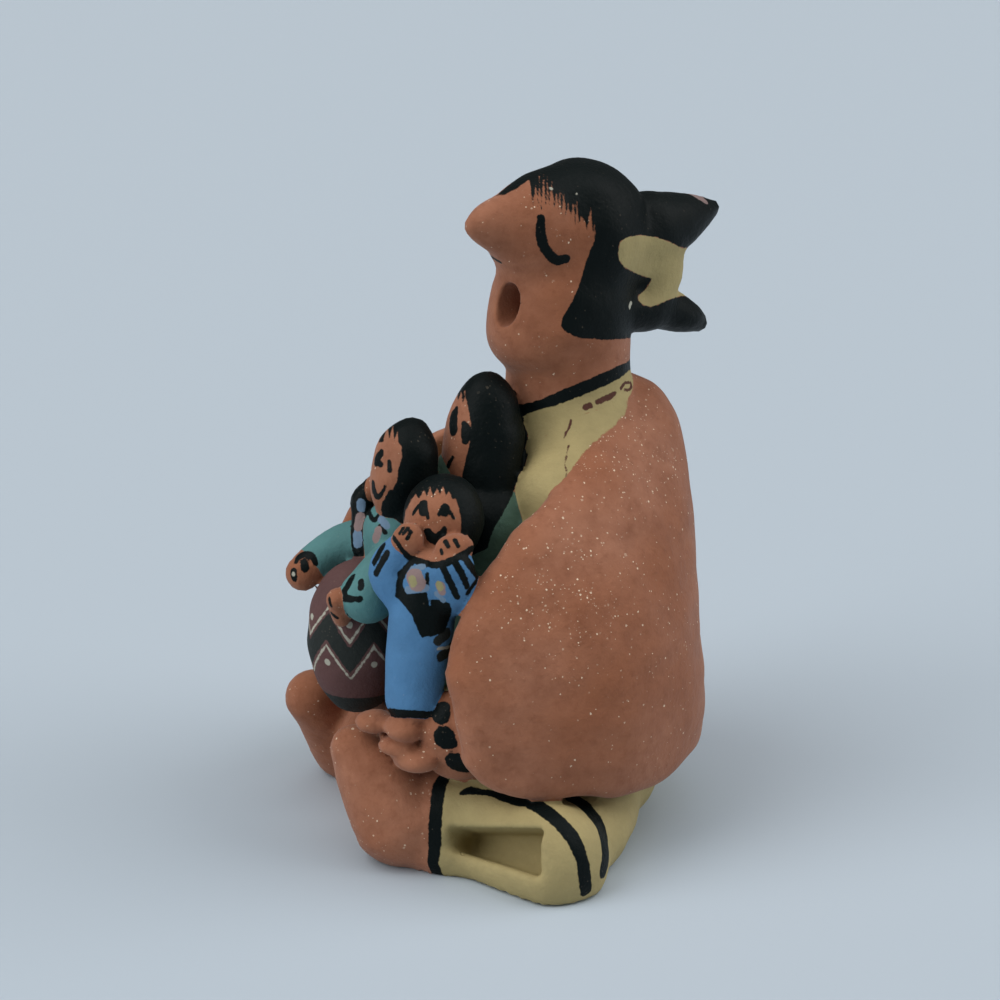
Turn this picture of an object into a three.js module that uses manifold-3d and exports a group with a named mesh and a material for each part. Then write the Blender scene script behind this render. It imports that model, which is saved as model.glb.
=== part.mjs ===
// A seated storyteller figure of fired clay, with three children on its lap under a blanket.
// Millimetres, +Z up. The figure faces -Y, its left side is at +X and it stands on Z = 0.
// The whole group is hand-built as one piece of clay, so it is one solid.

import * as THREE from "three";
import { mergeVertices } from "three/addons/utils/BufferGeometryUtils.js";
import Module from "manifold-3d";

// Driving sizes in millimetres
const figureHeight = 140;
const blanketThickness = 7;
const mouthWidth = 6.2;
const mouthHeight = 9;
const mouthDepth = 14.6;
const slotLength = 21.6;
const slotAnkleHeight = 4.2;
const slotKneeHeight = 9;
const slotDepth = 7.5;
const slotCorner = 1.4;

// The free form keeps its pose and proportions as hundredths of the figure's height.
const hundredth = figureHeight / 100;

// The forms are placed from the middle of the waist, and the origin is the middle of the footprint box.
const footprintMiddle = 3.45;

// Facets of the round forms: a large form has more of them than a small one.
const fewestFacets = 7;
const mostFacets = 16;
const facetsPerHundredth = 0.75;
const facetsAtNothing = 5;
const ringsPerFacet = 0.7;
const rollRings = 2;
const rollCapRings = 2;
const slotCornerFacets = 3;
const blanketSteps = 32;
const blanketRings = 18;
const weldShare = 1e-6;

const wasm = await Module();
wasm.setup();

// Points and directions

function at(x, y, z) {
  return new THREE.Vector3(x, y, z).multiplyScalar(hundredth);
}

function degrees(angle) {
  return THREE.MathUtils.degToRad(angle);
}

// A signed power, which keeps a superellipse's sides apart
function signedPower(value, power) {
  return Math.sign(value) * Math.abs(value) ** power;
}

// How many facets go round a form of this radius, given in hundredths of the height
function facetsRound(radius) {
  const facets = facetsAtNothing + radius * facetsPerHundredth;
  return Math.round(THREE.MathUtils.clamp(facets, fewestFacets, mostFacets));
}

// A closed geometry as a solid that can be joined and cut
function toSolid(geometry) {
  geometry.deleteAttribute("normal");
  geometry.deleteAttribute("uv");
  const merged = mergeVertices(geometry, figureHeight * weldShare);
  return new wasm.Manifold(
    new wasm.Mesh({
      numProp: 3,
      vertProperties: merged.attributes.position.array,
      triVerts: new Uint32Array(merged.index.array),
    }),
  );
}

function toGeometry(solid) {
  const mesh = solid.getMesh();
  const geometry = new THREE.BufferGeometry();
  geometry.setAttribute("position", new THREE.BufferAttribute(mesh.vertProperties, 3));
  geometry.setIndex(new THREE.BufferAttribute(mesh.triVerts, 1));
  return geometry;
}

// An egg of clay: an ellipsoid by its centre, its half lengths and its turns about X, Y and Z
function egg(centre, halves, turns = [0, 0, 0]) {
  const facets = facetsRound(Math.max(...halves));
  const geometry = new THREE.SphereGeometry(1, facets, Math.round(facets * ringsPerFacet));
  const [x, y, z] = turns.map(degrees);
  geometry.rotateX(Math.PI / 2);
  geometry.scale(...halves.map((half) => half * hundredth));
  geometry.applyMatrix4(new THREE.Matrix4().makeRotationFromEuler(new THREE.Euler(x, y, z, "ZYX")));
  geometry.translate(...at(...centre).toArray());
  return geometry;
}

// The axis that lies least along a direction
function crossAxis(direction) {
  const lengths = direction.toArray().map(Math.abs);
  const least = lengths.indexOf(Math.min(...lengths));
  return new THREE.Vector3().setComponent(least, 1);
}

// A roll of clay through stations [x, y, z, radius], with round ends and a section stretched along X, Y and Z
function roll(stations, stretch = [1, 1, 1]) {
  const [wide, deep, tall] = stretch;
  const points = stations.map(([x, y, z]) => at(x / wide, y / deep, z / tall));
  const curve = new THREE.CatmullRomCurve3(points, false, "centripetal");
  const radii = stations.map((station) => station[3] * hundredth);
  const facets = facetsRound(Math.max(...stations.map((station) => station[3])));
  const rings = rollRings * (stations.length - 1);
  const straight = 1;
  const geometry = new THREE.CapsuleGeometry(1, straight, rollCapRings, facets, rings);
  const position = geometry.attributes.position;
  const vertex = new THREE.Vector3();
  const upright = crossAxis(points[points.length - 1].clone().sub(points[0]));
  for (let i = 0; i < position.count; i += 1) {
    vertex.fromBufferAttribute(position, i);
    const fromStart = vertex.y + straight / 2;
    const along = THREE.MathUtils.clamp(fromStart, 0, straight);
    const cap = fromStart - along;
    const place = along * (radii.length - 1);
    const before = Math.min(Math.floor(place), radii.length - 2);
    const radius = THREE.MathUtils.lerp(radii[before], radii[before + 1], place - before);
    const tangent = curve.getTangent(along);
    const side = new THREE.Vector3().crossVectors(upright, tangent).normalize();
    const rise = new THREE.Vector3().crossVectors(tangent, side);
    const centre = curve.getPoint(along);
    centre.addScaledVector(tangent, cap * radius);
    centre.addScaledVector(rise, vertex.x * radius);
    centre.addScaledVector(side, vertex.z * radius);
    position.setXYZ(i, centre.x, centre.y, centre.z);
  }
  geometry.scale(wide, deep, tall);
  return geometry;
}

// The head, which looks a little to the figure's left

const headTurn = 17;
const neckAxis = [0, 10.6];
const facePlace = [0, 10.2, 79.4];
const faceHalves = [9.4, 11.4, 9.8];
const knotAside = 2.6;

function turnHead(geometry) {
  const [x, y] = neckAxis.map((value) => value * hundredth);
  geometry.translate(-x, -y, 0);
  geometry.rotateZ(degrees(headTurn));
  geometry.translate(x, y, 0);
  return geometry;
}

function headForms() {
  const cranium = egg([0, 13.4, 88.6], [10, 10.5, 11.4]);
  const forehead = egg([0, 6, 90], [7.5, 8.4, 8.8]);
  const face = egg(facePlace, faceHalves);
  const chin = egg([0, 8, 75], [8.6, 10.3, 7.6]);
  const nose = roll([[0, 3.4, 91, 6.2], [0, -3.2, 91.9, 3.5], [0, -6.3, 92, 1.6]], [0.85, 1, 1]);
  return [cranium, forehead, face, chin, nose].map(turnHead);
}

// The hair is gathered at the nape, a little to the left, in a knot that is bound at its waist.
function hairKnotForms() {
  const waist = roll([[0, 23.8, 89, 5.4], [0, 25.2, 83, 5], [0, 24, 77, 4.4]]);
  const root = roll([[0, 15.4, 84.5, 5.5], [0, 22.4, 84.5, 4.6]]);
  const broad = [1.15, 1, 1];
  const upperRoot = [[0, 16.4, 87.4, 5.2], [0, 25.9, 88.9, 4.9]];
  const upperEnd = [[0, 31.4, 89.5, 3.7], [0, 38.3, 90.5, 1.1]];
  const lowerRoot = [[0, 16.4, 77.4, 4.4], [0, 25.4, 76.4, 3.7]];
  const lowerEnd = [[0, 32, 74.2, 2.7], [0, 35.6, 72.6, 1.5]];
  const upper = roll([...upperRoot, ...upperEnd], broad);
  const lower = roll([...lowerRoot, ...lowerEnd], broad);
  return [waist, root, upper, lower].map((form) => turnHead(form.translate(knotAside * hundredth, 0, 0)));
}

function neckAndTorsoForms() {
  const neck = roll([[0, 11.2, 76, 9.8], [0, 11.2, 62, 9.6]], [0.88, 1, 1]);
  const torso = roll([[0, 12, 59, 9.6], [0, 11, 42, 15], [0, 10, 20, 19]]);
  const lap = egg([0, -6, 7], [27, 19.5, 16]);
  const seat = egg([0, 10, 8], [22.5, 13.8, 12.6]);
  return [neck, torso, lap, seat];
}

// The blanket: a thick sheet round the back, whose two wings reach forward past the children.
// Its outline is widest from back to tip at its waist, which climbs towards the right wing.

const blanketCentre = 3;
const blanketQuarter = 46;
const blanketReach = 21.5;
const blanketWaist = 32;
const rightWingClimb = 7.5;
const wingInward = 0.012;
const faceSquareness = 0.4;
const edgeTaper = 0.35;

// The outer face's half width and back reach go by the height.
// Its rise above the waist and its drop below it go by the way round.
// Its lower rim is lifted over the knees and at the back.
const halfWidthBell = { most: 33.8, middle: 22, spread: 48, flatness: 2, fall: 0.85 };
const backReachBell = { most: 26.9, middle: 20, spread: 50, flatness: 12, fall: 0.5 };
const backBulgeBell = { most: 1.2, middle: 17.5, spread: 12, flatness: 2, fall: 1 };
const riseBell = { most: 35.3, middle: 0, spread: 1, flatness: 2, fall: 0.63 };
const dropBell = { most: 22.6, middle: 0, spread: 1, flatness: 9, fall: 0.38 };
const kneeLiftBell = { most: 2.5, middle: 0.74, spread: 0.2, flatness: 2, fall: 1 };
const backLiftBell = { most: 2.6, middle: 0, spread: 0.66, flatness: 5, fall: 1 };

// A bell: its most at the middle, nothing beyond its spread
function bell({ most, middle, spread, flatness, fall }, value) {
  return most * Math.max(1 - Math.abs((value - middle) / spread) ** flatness, 0) ** fall;
}

// A point of the blanket, by its way round the body from the back, its height
// and its depth under the outer face
function blanketPoint(way, height, depth) {
  const halfWidth = bell(halfWidthBell, height) - depth;
  const round = Math.abs(way);
  const side = Math.sign(way);
  if (round < blanketQuarter) {
    const angle = (round / blanketQuarter) * (Math.PI / 2);
    const back = bell(backReachBell, height) + bell(backBulgeBell, height) - depth;
    return at(side * halfWidth * Math.sin(angle), blanketCentre + back * Math.cos(angle), height);
  }
  const forward = round - blanketQuarter;
  return at(side * (halfWidth - wingInward * forward ** 2), blanketCentre - forward, height);
}

function blanketForm() {
  const geometry = new THREE.SphereGeometry(1, blanketRings, blanketSteps);
  geometry.rotateZ(-Math.PI / 2);
  const position = geometry.attributes.position;
  const thickness = blanketThickness / hundredth;
  const vertex = new THREE.Vector3();
  for (let i = 0; i < position.count; i += 1) {
    vertex.fromBufferAttribute(position, i);
    const round = Math.hypot(vertex.y, vertex.z);
    const share = Math.abs(vertex.x);
    const across = round > 0 ? vertex.z / round : 0;
    const through = round > 0 ? vertex.y / round : 0;
    const climb = vertex.x < 0 ? rightWingClimb * share ** 2 : 0;
    const drop = bell(dropBell, share) - bell(kneeLiftBell, share) - bell(backLiftBell, share);
    const height = blanketWaist + climb + (across > 0 ? bell(riseBell, share) : drop) * across;
    const half = (thickness / 2) * signedPower(through, faceSquareness) * round ** edgeTaper;
    const way = vertex.x * (blanketQuarter + blanketReach);
    const point = blanketPoint(way, height, thickness / 2 - half);
    position.setXYZ(i, point.x, point.y, point.z);
  }
  return geometry;
}

// Legs, feet and hands: one side is made, and the other is its mirror image

const shinStations = [[18.4, -14.5, 5, 6.1], [33.4, -4.8, 4.2, 6.4]];
const shinHeightStretch = 1.28;

function legForms() {
  const thigh = roll([[9, 13, 6, 7.6], [23.6, 4.8, 5.4, 7.4], [31.8, -1.8, 4.2, 6.4]]);
  const shin = roll(shinStations, [1, 1, shinHeightStretch]);
  const ankle = egg([17.2, -17, 6], [6.3, 6.5, 8]);
  return [thigh, shin, ankle];
}

// The two feet stand on their heels with the soles to the front, and the left one is the stouter.
function footForms() {
  const left = roll([[15.1, -21.8, 6.8, 7.7], [13.2, -24.8, 12.4, 6.1], [11.4, -27.2, 16.4, 4.1]]);
  const right = roll([[-17.5, -19.4, 5, 6.2], [-14.5, -24, 12, 5], [-12.6, -27, 16, 4.2]]);
  return [left, right];
}

function armForms() {
  const shoulder = roll([[0, 16.5, 59, 7], [4.5, 14, 58, 6.9], [11.5, 5, 51.5, 6.8]]);
  const arm = roll([[11, 8, 52, 6.5], [21, -3, 33, 7], [23, -11, 25, 5.6]]);
  const hand = egg([21.3, -14.1, 21.3], [4.2, 6.6, 7.4]);
  return [shoulder, arm, hand];
}

function mirrored(geometry) {
  const copy = geometry.clone();
  copy.scale(-1, 1, 1);
  const index = copy.index.array;
  for (let i = 0; i < index.length; i += 3) {
    [index[i + 1], index[i + 2]] = [index[i + 2], index[i + 1]];
  }
  return copy;
}

// The jar that the first child holds, and the child behind it
function jarForm() {
  return egg([0, -23, 30], [7, 7.6, 12.4]);
}

function firstChildForms() {
  const head = egg([2.3, -16.2, 56.2], [4.8, 4.8, 8], [-16, 0, 0]);
  const hair = roll([[3, -15.4, 58.5, 4.2], [3.2, -15, 50, 3.8]]);
  const body = roll([[1, -16.5, 46, 5.4], [1, -15, 26, 7]]);
  const braidTop = [[-1.2, -17.5, 54, 1.6], [-3.9, -20.6, 50.6, 1.7]];
  const braidEnd = [[-3.2, -21.2, 47.2, 1.7], [-1.8, -21.8, 42.8, 1.5]];
  const braid = roll([...braidTop, ...braidEnd]);
  const farArm = roll([[-3.5, -18.5, 44.5, 3.2], [-7, -24, 42, 3.2], [-6.8, -29.6, 38.6, 2.5]]);
  const nearArm = roll([[5, -18, 44, 3], [7.6, -24.2, 39, 4.2]]);
  const nearHand = roll([[6.9, -28.4, 38.8, 2], [5.8, -27.6, 35.4, 1.6]]);
  return [head, hair, braid, body, farArm, nearArm, nearHand];
}

function secondChildForms() {
  const head = egg([2.8, -4, 59.2], [5.6, 6, 10.6], [-8, 0, 0]);
  const hair = roll([[3.5, -3.3, 60, 5.4], [6.4, -3.9, 50.5, 4.2]]);
  const body = roll([[6, -4, 47, 7.5], [5, -5, 28, 8]]);
  const shoulder = egg([1.5, -9, 53], [3.4, 3.2, 4.5]);
  return [head, hair, body, shoulder];
}

function thirdChildForms() {
  const head = egg([12.8, -14.1, 51.3], [5.9, 5.8, 6.6]);
  const body = roll([[16, -17.5, 44, 5], [17.5, -19.5, 34, 4.6], [18.3, -20.6, 26.6, 4.2]]);
  const leftArm = roll([[19, -15.2, 42.5, 4], [20, -15.8, 46, 3.4]]);
  const rightArm = roll([[15.8, -19.8, 40, 3.3], [14.2, -22.8, 44.6, 3], [15, -21.2, 47.6, 2.6]]);
  const hands = [egg([16.2, -20.5, 49.8], [2.2, 2.3, 2.7]), egg([19.6, -15, 48.9], [2.2, 2.8, 2])];
  const feet = [egg([15.2, -25.8, 22.4], [2.6, 2.9, 1.7]), egg([19.4, -22.8, 22.6], [3.3, 2.9, 1.7])];
  const lowerFeet = [egg([19.2, -24, 19.9], [2.8, 2.6, 1.1]), egg([20.4, -21.3, 18.2], [4.2, 3.4, 1.7])];
  return [head, body, leftArm, rightArm, ...hands, ...feet, ...lowerFeet];
}

// Hollows

// The mouth is on the front of the face, a little to its left.
const mouthAside = 0.4;
const mouthRise = 0.4;

function mouthHollow() {
  const halves = [mouthWidth, mouthDepth * 2, mouthHeight].map((size) => size / 2 / hundredth);
  const faceFront = facePlace[1] - faceHalves[1];
  return turnHead(egg([mouthAside, faceFront, facePlace[2] + mouthRise], halves));
}

// The slot is cut into the outer face of the left shin, along it and up into the leg.
// It is taller at the knee than at the ankle, and it climbs towards the knee.
const slotShinShare = 0.6;
const slotTilt = 32;
const slotClimb = 6;
const slotHeightInLeg = 6.5;

function slotOutline() {
  const outline = new THREE.Shape();
  const end = slotLength / 2 - slotCorner;
  const knee = slotKneeHeight / 2 - slotCorner;
  const ankle = slotAnkleHeight / 2 - slotCorner;
  outline.absarc(end, knee, slotCorner, 0, Math.PI / 2);
  outline.absarc(-end, ankle, slotCorner, Math.PI / 2, Math.PI);
  outline.absarc(-end, -ankle, slotCorner, Math.PI, Math.PI * 1.5);
  outline.absarc(end, -knee, slotCorner, Math.PI * 1.5, Math.PI * 2);
  return outline;
}

function legSlot() {
  const slot = new THREE.ExtrudeGeometry(slotOutline(), {
    depth: slotDepth * 2,
    bevelEnabled: false,
    curveSegments: slotCornerFacets,
  });
  const [ankle, knee] = shinStations.map(([x, y]) => at(x, y, slotHeightInLeg));
  const alongShin = knee.clone().sub(ankle).normalize();
  const outward = new THREE.Vector3(alongShin.y, -alongShin.x, 0);
  const radius = THREE.MathUtils.lerp(shinStations[0][3], shinStations[1][3], slotShinShare);
  const mouth = ankle.lerp(knee, slotShinShare).addScaledVector(outward, radius * hundredth);
  slot.translate(0, 0, -slotDepth);
  slot.rotateX(Math.PI / 2 - degrees(slotTilt));
  slot.rotateY(-degrees(slotClimb));
  slot.rotateZ(Math.atan2(alongShin.y, alongShin.x));
  return slot.translate(mouth.x, mouth.y, mouth.z);
}

function joined(geometries) {
  return geometries.map(toSolid).reduce((whole, solid) => whole.add(solid));
}

function figureSolid() {
  const oneSide = [...legForms(), ...armForms()];
  const forms = [
    ...headForms(),
    ...hairKnotForms(),
    ...neckAndTorsoForms(),
    blanketForm(),
    ...oneSide,
    ...oneSide.map(mirrored),
    ...footForms(),
    jarForm(),
    ...firstChildForms(),
    ...secondChildForms(),
    ...thirdChildForms(),
  ];
  const below = new THREE.BoxGeometry(figureHeight * 2, figureHeight * 2, figureHeight);
  below.translate(0, 0, -figureHeight / 2);
  return joined(forms)
    .subtract(toSolid(mouthHollow()))
    .subtract(toSolid(legSlot()))
    .subtract(toSolid(below));
}

function placed(geometry) {
  return geometry.translate(0, -footprintMiddle * hundredth, 0);
}

const figure = new THREE.Mesh(
  placed(toGeometry(figureSolid())),
  new THREE.MeshStandardMaterial({ color: "#9b6450", roughness: 0.85, metalness: 0 }),
);
figure.name = "storyteller_figure";

const storyteller = new THREE.Group();
storyteller.add(figure);

export default storyteller;
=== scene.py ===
"""The storyteller figure's looks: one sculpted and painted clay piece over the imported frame."""

import math
from functools import partial

import bpy
import numpy as np
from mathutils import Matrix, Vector


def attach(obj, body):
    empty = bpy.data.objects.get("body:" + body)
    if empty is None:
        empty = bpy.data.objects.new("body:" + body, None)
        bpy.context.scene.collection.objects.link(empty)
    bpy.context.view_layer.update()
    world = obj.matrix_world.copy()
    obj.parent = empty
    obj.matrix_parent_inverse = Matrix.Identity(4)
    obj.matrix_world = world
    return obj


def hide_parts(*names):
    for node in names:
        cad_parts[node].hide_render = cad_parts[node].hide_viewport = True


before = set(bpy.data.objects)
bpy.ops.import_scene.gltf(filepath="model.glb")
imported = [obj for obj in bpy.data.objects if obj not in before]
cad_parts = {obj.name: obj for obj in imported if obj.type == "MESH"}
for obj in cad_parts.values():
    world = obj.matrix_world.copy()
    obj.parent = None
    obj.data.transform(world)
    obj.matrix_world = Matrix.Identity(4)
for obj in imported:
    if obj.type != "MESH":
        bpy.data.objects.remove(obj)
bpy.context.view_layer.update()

# Lengths of the sculpted form are in hundredths of the figure's height. The figure faces -Y, and the
# object's origin lies this far along Y in the forms' frame.
HUNDREDTH_M = 0.0014
FOOTPRINT_MIDDLE = 3.45
# Distances are worked out up to this one, and the tiny one keeps divisors off 0
FAR = 4.0
TINY = 1e-6


def unit(vector):
    vector = np.asarray(vector, float)
    return vector / np.linalg.norm(vector)


def lengths(rows):
    return np.linalg.norm(rows, axis=1)


def unit_rows(rows):
    """Rows of numbers, each brought to the length of 1."""
    return rows / np.maximum(lengths(rows), TINY**2)[:, None]


def to_part_m(points):
    """Points of the forms' frame in metres in the part's frame."""
    return (points - [0, FOOTPRINT_MIDDLE, 0]) * HUNDREDTH_M


# Forms: each is a field of signed distance, with the low and high corners of the box that holds it


def turn_matrix(turns):
    """Rotation by turns about X, then Y, then Z, in degrees."""
    x, y, z = (math.radians(t) for t in turns)
    about_x = np.array([[1, 0, 0], [0, math.cos(x), -math.sin(x)], [0, math.sin(x), math.cos(x)]])
    about_y = np.array([[math.cos(y), 0, math.sin(y)], [0, 1, 0], [-math.sin(y), 0, math.cos(y)]])
    about_z = np.array([[math.cos(z), -math.sin(z), 0], [math.sin(z), math.cos(z), 0], [0, 0, 1]])
    return about_z @ about_y @ about_x


def egg(centre, halves, turns=(0, 0, 0)):
    """An ellipsoid of clay."""
    centre, halves, matrix = np.array(centre, float), np.array(halves, float), turn_matrix(turns)
    reach = np.sqrt(((matrix * halves) ** 2).sum(1))

    def field(p):
        q = (p - centre) @ matrix
        near = np.maximum(lengths(q / halves), TINY)
        slope = np.maximum(lengths(q / halves**2), TINY / halves.min())
        return near * (near - 1) / slope

    return field, centre - reach, centre + reach


def smooth_line(points, steps=5):
    """Points on a smooth curve through rows of numbers."""
    points = np.asarray(points, float)
    if len(points) < 3:
        return points
    ends = np.vstack([2 * points[0] - points[1], points, 2 * points[-1] - points[-2]])
    made = []
    for i in range(1, len(points)):
        a, b, c, d = ends[i - 1 : i + 3]
        for t in np.arange(steps) / steps:
            bend = (2 * a - 5 * b + 4 * c - d) * t**2
            twist = (3 * b - 3 * c + d - a) * t**3
            made.append(0.5 * (2 * b + (c - a) * t + bend + twist))
    return np.array(made + [points[-1]])


def line_distance(p, line):
    """Distance from points to a polyline, less the radius in its last column."""
    best = np.full(len(p), np.inf)
    for a, b in zip(line[:-1], line[1:]):
        way = b[:3] - a[:3]
        share = np.clip((p - a[:3]) @ way / max(way @ way, TINY), 0, 1)
        off = lengths(p - a[:3] - share[:, None] * way)
        best = np.minimum(best, off - (a[3] + share * (b[3] - a[3])))
    return best


def roll(stations, stretch=(1, 1, 1)):
    """A roll of clay through rows of x, y, z and radius, with its section stretched along X, Y and Z."""
    stretch = np.array(stretch, float)
    line = smooth_line(np.array([[*(np.array(s[:3]) / stretch), s[3]] for s in stations], float))
    low = ((line[:, :3] - line[:, 3:]) * stretch).min(0)
    high = ((line[:, :3] + line[:, 3:]) * stretch).max(0)
    scale = stretch.prod() ** (1 / 3)
    return (lambda p: line_distance(p / stretch, line) * scale), low, high


def mirrored(form):
    """The same form on the other side of the body."""
    field, low, high = form
    flip = np.array([-1.0, 1, 1])
    return (lambda p: field(p * flip)), *np.sort([low * flip, high * flip], axis=0)


def smooth_least(a, b, blend):
    """The lesser of two fields, rounded where they differ by less than the blend."""
    blend = np.maximum(blend, TINY)
    h = np.maximum(blend - np.abs(a - b), 0) / blend
    return np.minimum(a, b) - h * h * blend / 4


# Blanket: a shell that is an ellipse behind its centre, with two wings that reach forward. The way round
# it counts from the middle of the back, with a quarter of the ellipse and then the wing's reach a side.

BLANKET_THICKNESS = 5.0
BLANKET_CENTRE = 3
BLANKET_QUARTER = 46
BLANKET_REACH = 21.5
BLANKET_WAIST = 32
BLANKET_BOX = (np.array([-35.0, -20, 6]), np.array([35.0, 32, 71]))
BLANKET_STEP = 0.3
LEAST_HALF = 0.5
RIGHT_WING_CLIMB = 7.5
WING_INWARD = 0.012
RIM_ROUND = 2.3
RIM_CORNERS = 65
RIM_MARGIN = 8
RIM_HEIGHTS = (-4, 82)
# Each bell has its most, its middle, its spread, how flat its top is and how its sides fall
HALF_WIDTH_BELL = (33.8, 22, 48, 2, 0.85)
BACK_REACH_BELL = (26.9, 20, 50, 12, 0.5)
BACK_BULGE_BELL = (1.2, 17.5, 12, 2, 1)
RISE_BELL = (35.3, 0, 1, 2, 0.63)
DROP_BELL = (22.6, 0, 1, 9, 0.38)
KNEE_LIFT_BELL = (2.5, 0.74, 0.2, 2, 1)
BACK_LIFT_BELL = (2.6, 0, 0.66, 5, 1)


def bell(shape, value):
    most, middle, spread, flatness, fall = shape
    return most * np.maximum(1 - np.abs((value - middle) / spread) ** flatness, 0) ** fall


def polygon_distance(p, corners):
    """Signed distance in the plane to a closed polygon, negative inside."""
    best = np.full(len(p), np.inf)
    inside = np.zeros(len(p), bool)
    for a, b in zip(corners, np.roll(corners, -1, axis=0)):
        way = b - a
        share = np.clip((p - a) @ way / max(way @ way, TINY), 0, 1)
        best = np.minimum(best, ((p - a - share[:, None] * way) ** 2).sum(1))
        crosses = (a[1] > p[:, 1]) != (b[1] > p[:, 1])
        with np.errstate(divide="ignore", invalid="ignore"):
            side = p[:, 0] < (b[0] - a[0]) * (p[:, 1] - a[1]) / (b[1] - a[1]) + a[0]
        inside ^= crosses & side
    best = np.sqrt(best)
    return np.where(inside, -best, best)


def rim_table():
    """Signed distance to the blanket's rim over its way round and its height, as a table."""
    across = np.linspace(-1, 1, RIM_CORNERS)
    share = np.concatenate([across, across[-2:0:-1]])
    upper = np.arange(len(share)) < RIM_CORNERS
    size = np.where(upper, bell(RISE_BELL, np.abs(share)), -bell(DROP_BELL, np.abs(share)))
    climb = np.where(share < 0, RIGHT_WING_CLIMB * share**2, 0)
    full = BLANKET_QUARTER + BLANKET_REACH
    lift = bell(KNEE_LIFT_BELL, np.abs(share)) + bell(BACK_LIFT_BELL, np.abs(share))
    lift = np.where(upper, 0, lift)
    corners = np.column_stack([share * full, BLANKET_WAIST + climb + size + lift])
    ways = np.arange(-full - RIM_MARGIN, full + RIM_MARGIN + 0.5)
    heights = np.arange(RIM_HEIGHTS[0], RIM_HEIGHTS[1] + 0.5)
    w, z = np.meshgrid(ways, heights, indexing="ij")
    places = np.column_stack([w.ravel(), z.ravel()])
    return ways, heights, polygon_distance(places, corners).reshape(w.shape)


RIM = rim_table()


def from_table(table, x, y):
    """A table's value between its grid's points."""
    xs, ys, values = table
    u = np.clip((x - xs[0]) / (xs[1] - xs[0]), 0, len(xs) - 1 - TINY)
    v = np.clip((y - ys[0]) / (ys[1] - ys[0]), 0, len(ys) - 1 - TINY)
    i, j = u.astype(int), v.astype(int)
    u, v = u - i, v - j
    lower = values[i, j] * (1 - u) + values[i + 1, j] * u
    upper = values[i, j + 1] * (1 - u) + values[i + 1, j + 1] * u
    return lower * (1 - v) + upper * v


def blanket_depth_and_way(p):
    """Depth under the blanket's outer face, and the way round it from the back."""
    x, y, z = p.T
    half = np.maximum(bell(HALF_WIDTH_BELL, z), LEAST_HALF)
    back = np.maximum(bell(BACK_REACH_BELL, z), LEAST_HALF) + bell(BACK_BULGE_BELL, z)
    forward = BLANKET_CENTRE - y
    side = np.where(x < 0, -1, 1)
    behind = np.maximum(-forward, 0)
    ratio = np.maximum(np.hypot(x / half, behind / back), TINY)
    back_depth = (1 - ratio) * np.hypot(x, behind) / ratio
    back_way = np.arctan2(np.abs(x) / half, behind / back) / (math.pi / 2) * BLANKET_QUARTER
    front_depth = half - WING_INWARD * forward**2 - np.abs(x)
    depth = np.where(forward > 0, front_depth, back_depth)
    return depth, side * np.where(forward > 0, BLANKET_QUARTER + forward, back_way)


def blanket_raw(p):
    """The shell between the blanket's two faces and inside its rim, with round edges."""
    depth, way = blanket_depth_and_way(p)
    face = np.abs(depth - BLANKET_THICKNESS / 2) - BLANKET_THICKNESS / 2 + RIM_ROUND
    rim = from_table(RIM, way, p[:, 2]) + RIM_ROUND
    inner = np.minimum(np.maximum(face, rim), 0)
    return np.hypot(np.maximum(face, 0), np.maximum(rim, 0)) + inner - RIM_ROUND


def blanket_field(p):
    """The shell's field divided by its own slope where that is steep, so that it measures distance."""
    here = blanket_raw(p)
    rises = [(blanket_raw(p + step) - here) / BLANKET_STEP for step in np.eye(3) * BLANKET_STEP]
    return here / np.maximum(np.sqrt(sum(rise**2 for rise in rises)), 1)


# The figure's groups of forms. The head turns to the figure's left about the neck, and the hair's knot
# sits a little to the head's left.

HEAD_TURN = math.radians(17)
KNOT_ASIDE = 2.6
NECK_AXIS = np.array([0, 10.6, 0])
JAR_PLACE = np.array([0, -23, 30])


def turned(p, angle):
    """Points turned about the neck."""
    c, s = math.cos(angle), math.sin(angle)
    q = p - NECK_AXIS
    return np.column_stack([c * q[:, 0] + s * q[:, 1], -s * q[:, 0] + c * q[:, 1], q[:, 2]]) + NECK_AXIS


# Points in the frame of the head before it turns, and the way back
to_head = partial(turned, angle=HEAD_TURN)
from_head = partial(turned, angle=-HEAD_TURN)


def to_knot(p):
    return to_head(p) - [KNOT_ASIDE, 0, 0]


def as_is(p):
    return p


LEG = [
    roll([[9, 13, 6, 7.6], [23.6, 4.4, 5.2, 7], [30.8, -1.8, 4.2, 5.8]]),
    roll([[18.4, -14.5, 5, 6.1], [33.4, -4.8, 4.2, 6.4]], [1, 1, 1.28]),
    egg([17.2, -17, 6], [6.3, 6.5, 8]),
]
ARM = [
    roll([[11, 8, 52, 6.5], [21, -3, 33, 7], [23, -11, 25, 5.6]]),
    roll([[0, 16.5, 59, 7], [4.5, 14, 58, 6.9], [11.5, 5, 51.5, 6.8]]),
]
HAND = [egg([21.3, -14.1, 21.3], [4.2, 6.6, 7.4])]

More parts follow.
